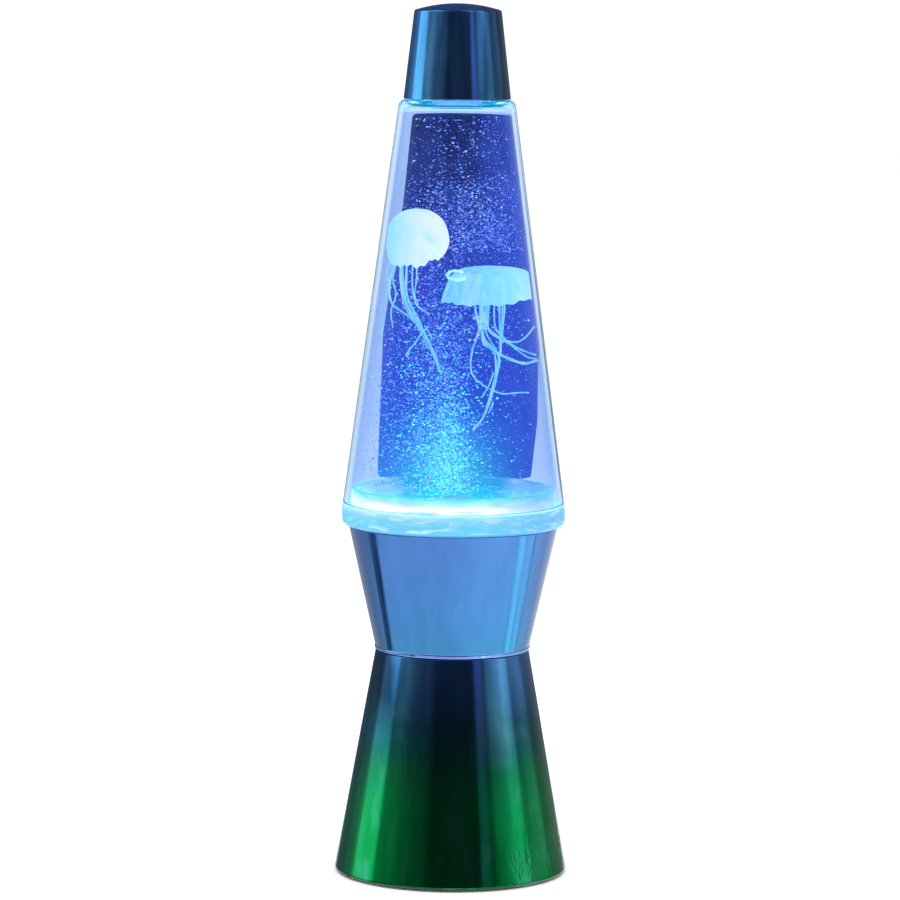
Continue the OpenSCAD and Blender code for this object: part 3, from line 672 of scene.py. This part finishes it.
LEFT_PROFILE = [
    (0.0, 1.0), (0.32, 0.975), (0.62, 0.89), (0.85, 0.74), (0.98, 0.53), (0.99, 0.34),
    (0.91, 0.15), (0.80, 0.02), (0.72, 0.0), (0.70, 0.08), (0.80, 0.26), (0.84, 0.45),
    (0.70, 0.66), (0.46, 0.80), (0.22, 0.87), (0.0, 0.89),
]
RIGHT_PROFILE = [
    (0.0, 1.0), (0.30, 0.99), (0.58, 0.96), (0.78, 0.88), (0.90, 0.72), (0.96, 0.50),
    (1.0, 0.22), (1.0, 0.05), (0.95, 0.0), (0.90, 0.08), (0.86, 0.30), (0.80, 0.60),
    (0.66, 0.78), (0.45, 0.85), (0.2, 0.88), (0.0, 0.89),
]


def left_wave(angle, r, z):
    """Scalloped all round its rim, which rises to the right."""
    rim = max(0.0, 1 - z / 0.5) * min(1.0, r / 0.5)
    swell = 1 + 0.03 * math.sin(9 * angle + 0.7) * rim + 0.02 * math.sin(3 * angle)
    lift = 0.025 * math.sin(6 * angle + 0.4) * rim + 0.02 * math.sin(17 * angle) * rim
    lift += 0.16 * max(0.0, math.cos(angle)) * rim
    return swell, lift


def right_wave(angle, r, z):
    """Narrower at its upper left, with a frilled rim that rises to the right."""
    rim = max(0.0, 1 - z / 0.7) * min(1.0, r / 0.5)
    left = max(0.0, -math.cos(angle))
    swell = 1 + 0.02 * math.sin(10 * angle + 0.3) * rim + 0.02 * math.sin(4 * angle + 1.0)
    swell -= 0.10 * left * min(1.0, z / 0.8)
    lift = 0.025 * math.sin(7 * angle + 0.9) * rim + 0.025 * math.sin(19 * angle) * rim
    lift += 0.16 * max(0.0, math.cos(angle)) * rim
    return swell, lift


# Each strand is its route in mm, its thickness at the root and its thickness at the tip.
LEFT_STRANDS = [
    ([(-22, -3, 266), (-22.5, -5, 256), (-20.9, -5, 244.4), (-16, -6, 236), (-13.6, -6, 232.5),
      (-10.4, -6.5, 226), (-8.0, -9.5, 221.5), (-5.8, -13, 214.7)], 0.75, 0.45),
    ([(-20, -2, 266), (-20.8, -3, 256), (-20.2, -3, 246), (-15.6, -4, 237), (-12.6, -4, 230),
      (-9.0, -8, 222), (-6.6, -12, 216)], 0.55, 0.35),
    ([(-25, -4, 264), (-27.6, -5, 252), (-26.9, -5, 244), (-22, -6, 240), (-18.8, -6, 237.6),
      (-13.9, -6, 232.2)], 0.5, 0.35),
    ([(-14, -6, 231.5), (-16.5, -6, 227.5), (-20.3, -5, 222.3), (-19.4, -5, 220.4)], 0.4, 0.3),
    ([(-18, -5, 264), (-18.2, -6, 252), (-16.7, -6, 244), (-13.6, -6, 241), (-11.1, -6, 239.3)],
     0.4, 0.3),
    ([(-12.8, -4, 234), (-11.9, -4, 233), (-9.8, -4, 229.1)], 0.35, 0.28),
    ([(-23, -1, 264), (-23.4, -3, 254), (-21.6, -4, 243), (-17.4, -5, 236.4), (-13.4, -5, 229.6),
      (-11.6, -4, 224.6)], 0.32, 0.24),
    ([(-16, -3, 264), (-16.6, -4, 253), (-17.2, -4, 247.6), (-15.6, -4, 243)], 0.32, 0.24),
    ([(-26, -2, 264), (-29.0, -3, 258), (-28.4, -3, 250), (-30.4, -3, 243), (-30, -3, 236),
      (-31.2, -2, 230)], 0.45, 0.3),
    ([(-24, 0, 264), (-26.5, 0, 254), (-25.2, 0, 247), (-27.2, 0, 240), (-26.4, 0, 233)], 0.4, 0.28),
]
RIGHT_STRANDS = [
    ([(11, -2, 250), (11.4, -4, 240.6), (11.4, -5, 234), (11.9, -5, 229.1), (15.4, -5, 225.4),
      (18.3, -5, 222.3), (18.6, -5, 218), (18.0, -4, 215.1), (16.4, -4, 207.5), (14.3, -4, 200.7),
      (11.8, -4, 194.8), (8.0, -3, 190.1)], 0.8, 0.4),
    ([(10.4, 0, 250), (10.6, -2, 240), (10.9, -3, 233), (13, -3, 228), (16.6, -3, 223.2),
      (17.4, -3, 215), (15.4, -3, 206), (13.4, -3, 199)], 0.5, 0.3),
    ([(9, 0, 250), (8.4, -3, 241.9), (10.1, -4, 233.8), (8.9, -4, 228.6), (7.3, -4, 223.6),
      (6.7, -4, 216.8), (8.2, -4, 212.6), (11, -4, 210), (14.1, -4, 207.9)], 0.5, 0.32),
    ([(16.5, -4, 214.7), (14.4, -5, 209), (11.6, -5, 204.1)], 0.35, 0.28),
    ([(16.4, -4, 202), (15.6, -4, 199.6), (14.3, -4, 197.3)], 0.35, 0.28),
    ([(14, -2, 250), (13.2, -4, 240), (13.5, -5, 234.2), (16.8, -6, 231), (20.3, -6, 228.7),
      (25.9, -6, 227.8), (29.7, -6, 230), (33.2, -5, 234.4)], 0.5, 0.36),
    ([(15, -3, 250), (13.8, -5, 238), (14.4, -6, 232.5), (18.6, -7, 229.4), (23.3, -7, 227),
      (29, -7, 224.2), (34.0, -6, 222.4)], 0.45, 0.36),
    ([(12, -4, 240), (11.9, -6, 228.3), (15.2, -7, 225.2), (18.7, -7, 222.8), (23.4, -7, 220.6),
      (29.4, -7, 218.9), (34.6, -6, 220.2)], 0.7, 0.55),
    ([(18.2, -2, 250), (18.6, -3, 241.9), (18.9, -3, 232), (19.2, -3, 222.3)], 0.5, 0.4),
    ([(19.6, -1, 250), (20.0, -2, 241), (19.6, -2, 231), (19.5, -2, 223)], 0.4, 0.3),
    ([(16.8, -2, 250), (16.4, -4, 240.4), (17.2, -5, 233.2), (20.4, -6, 229.8), (24.8, -6, 225.6),
      (30.4, -6, 221.6), (34.2, -6, 220.8)], 0.36, 0.3),
    ([(13.2, -2, 250), (12.6, -4, 240.8), (12.7, -5, 233.4), (14.6, -5, 228.6), (17.6, -5, 224.4)],
     0.34, 0.28),
    ([(20.8, 0, 250), (20.9, -2, 242), (20.2, -2, 233), (20.2, -2, 227)], 0.3, 0.24),
    ([(15.8, -4, 208.2), (17.2, -4, 206.6), (20.4, -4, 205.6), (23.6, -4, 205.8), (27.6, -4, 206.2),
      (31.4, -4, 206.2)], 0.35, 0.3),
]
CURL = (
    [(3.0, -12.5, 257.6), (0.2, -13.4, 258.3), (-2.2, -14.0, 257.9), (-3.5, -14.4, 256.5),
     (-2.4, -15.0, 255.2), (1.0, -15.6, 254.6), (4.0, -15.8, 255.3)], 0.55, 0.8)


def strand(route, thick, thin):
    """A tapering tube along the route, with a slight wave in its thickness."""
    path = spline([tuple(c * MM for c in point) for point in route], 7)
    share = np.linspace(0, 1, len(path))
    radii = (thick + (thin - thick) * share) * MM * (1 + 0.12 * np.sin(share * 40))
    return tube(path, radii)


def build_jellies():
    left_centre = (-16.6 * MM, -4.0 * MM, 260.2 * MM)
    left = bell(left_centre, (0.04, -0.03, 0.999), 13.4 * MM, 23.6 * MM, LEFT_PROFILE, left_wave)
    piece = add_mesh("jelly_left_bell", *held_in(left), [JELLY_LEFT], "jellyfish_1")
    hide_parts("bell_1")

    strands = held_in(join([strand(*one) for one in LEFT_STRANDS]))
    piece = add_mesh("jelly_left_strands", *strands, [STRAND], "jellyfish_1")
    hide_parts("tentacles_1")

    right_centre = (14.8 * MM, 2.0 * MM, 244.2 * MM)
    right = bell(right_centre, (0.0, -0.019, 1.0), 20.2 * MM, 14.8 * MM, RIGHT_PROFILE, right_wave)
    piece = add_mesh("jelly_right_bell", *held_in(right), [JELLY_RIGHT], "jellyfish_2")
    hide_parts("bell_2")

    piece = add_mesh("jelly_right_curl", *held_in(strand(*CURL)), [JELLY_CURL], "jellyfish_2")

    strands = held_in(join([strand(*one) for one in RIGHT_STRANDS]))
    piece = add_mesh("jelly_right_strands", *strands, [STRAND], "jellyfish_2")
    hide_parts("tentacles_2")


build_jellies()


# ---------------------------------------------------------------- water and glitter


WATER_FOOT = 152.9
WATER_TOP = 324.0
WATER_STEP = 165.7
FOOT_RADIUS = 40.9


def build_water():
    """The whole body of water as it looks, without the lanes the solid has round its moving parts."""
    profile = [(0, WATER_FOOT), (FOOT_RADIUS - 0.3, WATER_FOOT), (FOOT_RADIUS, WATER_FOOT + 0.3)]
    profile += [(FOOT_RADIUS, WATER_STEP - 0.5)]
    profile += [(wall_radius(h) - WATER_GAP, h) for h in np.linspace(WATER_STEP, WATER_TOP, 12)]
    profile += [(0, WATER_TOP)]
    points, faces = lathe([(r * MM, h * MM) for r, h in profile])
    piece = add_mesh("water_body", points, faces, [SLOT_FINISH["water"]], "water")
    piece.data.set_sharp_from_angle(angle=math.radians(30))
    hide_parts("water_fill")


def flakes(name, centres, lengths, finishes, weights):
    """Small closed six-cornered flakes, longest along the swirl, each in one of the finishes."""
    count = len(centres)
    angle = np.arctan2(centres[:, 1], centres[:, 0]) + rng.normal(0, 0.5, count)
    along = np.stack([-np.sin(angle), np.cos(angle), rng.normal(0, 0.18, count)], 1)
    along[:, 0] = np.where(np.abs(along[:, 0]) < 0.4, 0.7, along[:, 0])
    along /= np.linalg.norm(along, axis=1)[:, None]
    up = rng.normal(0, 1, (count, 3)) * (0.4, 0.4, 1.0)
    up -= along * np.sum(up * along, 1)[:, None]
    up /= np.linalg.norm(up, axis=1)[:, None]
    across = np.cross(along, up)
    half = lengths[:, None] / 2
    tall = half * rng.uniform(0.35, 0.75, (count, 1))
    thin = half * 0.25
    corners = np.stack(
        [
            centres + along * half,
            centres + up * tall,
            centres - along * half,
            centres - up * tall,
            centres + across * thin,
            centres - across * thin,
        ],
        1,
    )
    pattern = [(0, 1, 4), (1, 2, 4), (2, 3, 4), (3, 0, 4), (1, 0, 5), (2, 1, 5), (3, 2, 5), (0, 3, 5)]
    faces = [tuple(6 * i + v for v in face) for i in range(count) for face in pattern]
    kinds = np.repeat(rng.choice(len(finishes), count, p=weights), len(pattern))
    piece = add_mesh(name, corners.reshape(-1, 3), faces, finishes, "water", False, kinds)
    return piece


# The ranges that the bells and the long strands move through: a point on the lane, its lean in x
# and y per mm of height, its radius, and the heights it runs between.
JELLY_LANES = (
    ((-16.5, -4.0, 260.0), (0.129, 0.031), 15.2, 168.0, 321.0),
    ((13.9, 2.0, 241.0), (-0.131, -0.019), 21.4, 166.0, 265.0),
    ((-8.5, -9.5, 220.0), (0.129, 0.031), 7.5, 166.0, 266.0),
)
# The bells as the camera sees them: the rim's centre, radius and height. VIEW_SLOPE is how much
# higher a flake seems to the camera per mm that it stands further back.
BELLS_IN_VIEW = (
    ((-16.5, -4.0, 260.0), 14.6, 24.0),
    ((13.9, 2.0, 243.0), 21.4, 15.5),
)
VIEW_SLOPE = 0.113
DRIFT_TRIED = 36000
PLUME_TRIED = 11000


def clear_of_lanes(x, y, height):
    """Which flakes stand neither in a jellyfish's way nor between a bell and the front."""
    clear = np.ones(len(x), bool)
    for (cx, cy, cz), (lean_x, lean_y), radius, low, high in JELLY_LANES:
        off_x = x - cx - lean_x * (height - cz)
        off_y = y - cy - lean_y * (height - cz)
        clear &= (np.hypot(off_x, off_y) > radius) | (height < low) | (height > high)
    for (cx, cy, cz), radius, tall in BELLS_IN_VIEW:
        apparent = height + VIEW_SLOPE * (y - cy) - cz
        clear &= (np.abs(x - cx) > radius) | (y > cy) | (apparent < -1.5) | (apparent > tall + 1)
    return clear


def scatter_glitter():
    """Flakes drifting through the whole tank, paler high up, and a bright plume over the lights."""
    pale = glitter("glitter_pale", linear(150, 168, 246), linear(206, 220, 255), 0.8)
    violet = glitter("glitter_violet", linear(92, 106, 216), linear(132, 146, 236), 0.6)
    azure = glitter("glitter_azure", linear(80, 148, 232), linear(104, 188, 246), 0.64)
    cyan = glitter("glitter_cyan", linear(60, 214, 236), linear(140, 244, 246), 0.9)

    count = DRIFT_TRIED
    height = 168 + 154 * rng.random(count)
    radius = (wall_radius(height) - GLITTER_GAP) * np.sqrt(rng.random(count))
    angle = rng.random(count) * 2 * math.pi
    x, y = radius * np.cos(angle), radius * np.sin(angle)
    share = np.interp(height, [168, 215, 250, 285, 300, 322], [0.75, 0.75, 0.65, 0.48, 0.11, 0.14])
    share *= np.where((x < -4) & (y > 6), 2.6, 1.0)
    thinned = np.interp(height, [168, 205, 232], [0.30, 0.12, 0.7])
    share *= np.where((x > 6) & (height < 232), thinned, 1.0)
    keep = (rng.random(count) < share) & clear_of_lanes(x, y, height)
    centres = np.stack([x, y, height], 1)[keep] * MM
    lengths = rng.gamma(5.0, 0.17, len(centres)).clip(0.4, 1.7) * MM
    high = centres[:, 2] > (228 + 14 * rng.normal(0, 1, len(centres))) * MM
    flakes("glitter_drift_high", centres[high], lengths[high], [pale, violet, azure], [0.10, 0.64, 0.26])
    flakes("glitter_drift_low", centres[~high], lengths[~high], [violet, azure, cyan], [0.34, 0.48, 0.18])

    count = PLUME_TRIED
    climb = rng.gamma(1.4, 20, count)
    height = 164 + climb
    x = -4 + rng.normal(0, 9, count) * (1 + climb / 80) + climb * 0.02
    y = rng.normal(-8, 14, count)
    reach = wall_radius(height) - GLITTER_GAP - (height < 167) * 4
    inside = (np.hypot(x, y) < reach) & (height < 245)
    inside &= clear_of_lanes(x, y, height)
    centres = np.stack([x, y, height], 1)[inside] * MM
    lengths = rng.gamma(4.0, 0.17, len(centres)).clip(0.3, 1.6) * MM
    flakes("glitter_plume", centres, lengths, [pale, azure, cyan], [0.06, 0.26, 0.68])


build_water()
scatter_glitter()


# ---------------------------------------------------------------- stage


def build_floor():
    finish = Finish("floor_paper", grey(0.95), roughness=0.8, specular_ior_level=0.1)
    finish.speckled(grey(0.95), grey(0.965), 8)
    half, front, back = 5.0, -4.0, 7.0
    corners = [(-half, front, 0), (half, front, 0), (half, back, 0), (-half, back, 0)]
    mesh = bpy.data.meshes.new("floor")
    mesh.from_pydata(corners, [], [(0, 1, 2, 3)])
    mesh.materials.append(finish.material)
    floor = bpy.data.objects.new("floor", mesh)
    floor.visible_glossy = False
    bpy.context.scene.collection.objects.link(floor)


DARK = (0.036, 0.038, 0.054)
WINDOW = (0.86, 1.28, 1.36)

# What the chrome reflects: radiance by bearing in degrees, 0 towards the camera and positive to
# its right. Surfaces that lean back see the upper studio, and the cup, which leans over, the lower.
UPPER_STUDIO = [
    (-180, (0.05, 0.08, 0.17)),
    (-142, (0.08, 0.14, 0.19)),
    (-124, (0.20, 0.28, 0.36)),
    (-116, (0.36, 0.48, 0.56)),
    (-112, WINDOW),
    (-87, WINDOW),
    (-81, (0.30, 0.36, 0.36)),
    (-70, (0.28, 0.33, 0.33)),
    (-52, (0.15, 0.17, 0.19)),
    (-34, (0.10, 0.10, 0.13)),
    (-20, DARK),
    (30, DARK),
    (34, (0.24, 0.17, 0.36)),
    (40, (0.24, 0.17, 0.36)),
    (45, (0.09, 0.12, 0.16)),
    (54, (0.26, 0.34, 0.42)),
    (66, (0.46, 0.56, 0.70)),
    (76, (0.85, 0.95, 1.10)),
    (84, (0.80, 0.90, 1.05)),
    (90, (0.36, 0.40, 0.46)),
    (112, (0.50, 0.54, 0.58)),
    (124, (0.22, 0.24, 0.28)),
    (138, (0.24, 0.25, 0.24)),
    (156, (0.20, 0.22, 0.24)),
    (180, (0.05, 0.08, 0.17)),
]
LOWER_STUDIO = [
    (-180, (0.45, 0.46, 0.49)),
    (-150, (0.55, 0.56, 0.60)),
    (-136, (0.70, 0.72, 0.80)),
    (-130, (0.16, 0.22, 0.27)),
    (-112, (0.10, 0.16, 0.20)),
    (-108, (0.04, 0.06, 0.08)),
    (-102, (0.06, 0.10, 0.13)),
    (-97, (1.12, 1.05, 1.10)),
    (-20, (1.14, 1.10, 1.16)),
    (44, (1.42, 1.40, 1.42)),
    (55, (1.45, 1.40, 1.42)),
    (59, (0.45, 0.75, 0.85)),
    (63, (1.45, 2.05, 1.80)),
    (82, (1.75, 2.30, 1.80)),
    (87, (0.75, 1.00, 1.05)),
    (92, (1.40, 1.75, 1.55)),
    (116, (1.30, 1.65, 1.50)),
    (121, (0.40, 0.60, 0.70)),
    (127, (1.25, 1.25, 1.25)),
    (165, (1.05, 1.00, 1.02)),
    (180, (0.85, 0.85, 0.88)),
]
SWEEP_FROM = 1.4
PAPER_WHITE = (1.11, 1.11, 1.11, 1.0)


def build_world():
    """White to the eye; to reflections, a studio with a dark front and lit sides."""
    world = bpy.data.worlds.new("studio")
    bpy.context.scene.world = world
    world.use_nodes = True
    world.node_tree.nodes.clear()
    studio = Shading(world.node_tree)

    def bands(turn, stops):
        return studio.ramp(turn, [(degrees / 360 + 0.5, color) for degrees, color in stops], "EASE")

    direction = studio.node("ShaderNodeTexCoord").outputs["Generated"]
    way = studio.node("ShaderNodeSeparateXYZ", {0: direction}).outputs
    bearing = studio.math("ARCTAN2", way["X"], studio.times(way["Y"], -1.0))
    turn = studio.math("ADD", studio.math("DIVIDE", bearing, 2 * math.pi), 0.5)

    # The cup's stripes lean with its sides, the more the further round they are.
    aside = studio.math("MINIMUM", studio.math("DIVIDE", studio.math("ABSOLUTE", bearing), SWEEP_FROM), 1.0)
    lifted = studio.math("ADD", way["Z"], 0.40)
    sweep = studio.times(lifted, 1.4, studio.math("POWER", aside, 3.0))
    leaning = studio.math("ADD", turn, studio.times(studio.math("SIGN", bearing), sweep))

    rising = studio.math("GREATER_THAN", way["Z"], -0.15)
    reflected = studio.mix(rising, bands(leaning, LOWER_STUDIO), bands(turn, UPPER_STUDIO))
    path = studio.node("ShaderNodeLightPath").outputs
    mirrored = studio.math("SUBTRACT", path["Is Glossy Ray"], path["Is Transmission Ray"])
    seen = studio.mix(mirrored, PAPER_WHITE, reflected)
    background = studio.node("ShaderNodeBackground", {"Color": seen})
    studio.node("ShaderNodeOutputWorld", {"Surface": background.outputs[0]})


def build_light():
    data = bpy.data.lights.new("overhead", "AREA")
    data.shape = "SQUARE"
    data.size = 1.8
    data.energy = 22
    lamp = bpy.data.objects.new("overhead", data)
    lamp.location = (0, 0.1, 1.9)
    lamp.visible_glossy = False
    bpy.context.scene.collection.objects.link(lamp)


def build_camera():
    data = bpy.data.cameras.new("camera")
    data.sensor_width = 36
    data.lens = 179
    data.clip_end = 30
    camera = bpy.data.objects.new("camera", data)
    eye = Vector((-0.0017, -1.89, 0.394))
    aim = Vector((-0.0017, 0, 0.181))
    camera.location = eye
    camera.rotation_euler = (aim - eye).to_track_quat("-Z", "Y").to_euler()
    camera.rotation_euler.rotate_axis("Z", math.radians(0.53))
    bpy.context.scene.collection.objects.link(camera)
    bpy.context.scene.camera = camera


build_floor()
build_world()
build_light()
build_camera()
bpy.context.scene.view_settings.view_transform = "Standard"
